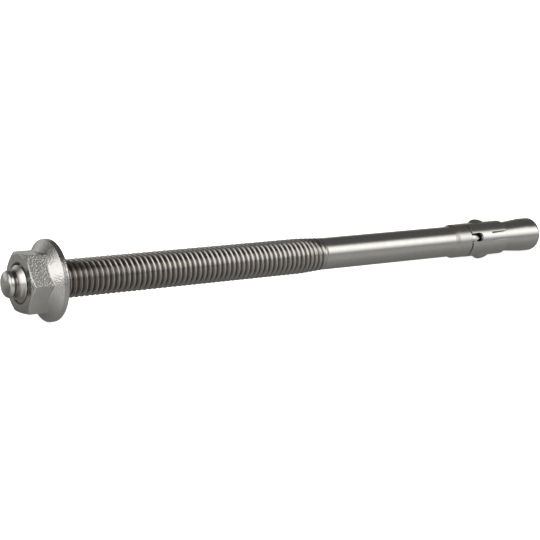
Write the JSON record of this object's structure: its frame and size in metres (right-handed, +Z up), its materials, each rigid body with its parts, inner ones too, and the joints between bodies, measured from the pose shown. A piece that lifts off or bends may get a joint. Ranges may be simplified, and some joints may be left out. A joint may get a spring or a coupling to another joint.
{
  "type": "wedge anchor",
  "caption": "Long steel wedge anchor for concrete: threaded stud with a domed end, hex flange nut, collar, slotted expansion clip and cone end.",
  "frame": {"origin": "on the bolt's axis, in the plane of the nut's bearing face", "axes": "+X along the bolt towards its cone end, which goes into the drilled hole; +Z up as the anchor lies at rest on its flange, its cone end and one lug of the clip"},
  "size_m": [0.2291, 0.0268, 0.0268],
  "materials": {
    "bolt_steel": "satin, rolled and drawn surface",
    "nut_steel": "satin, slightly grainy forged surface",
    "clip_steel": "smooth cold-rolled sheet"
  },
  "bodies": {
    "bolt": {"anchor_bolt": "bolt_steel"},
    "nut": {"flange_nut": "nut_steel"},
    "clip": {"expansion_clip": "clip_steel"}
  },
  "joints": [
    {"name": "nut_travel", "type": "slide", "parent": "bolt", "child": "nut", "axis": [1, 0, 0], "range_m": [-0.00782, 0.09574]},
    {"name": "clip_turn", "type": "hinge", "parent": "bolt", "child": "clip", "pos_m": [0.185, 0, 0], "axis": [1, 0, 0], "continuous": true}
  ]
}
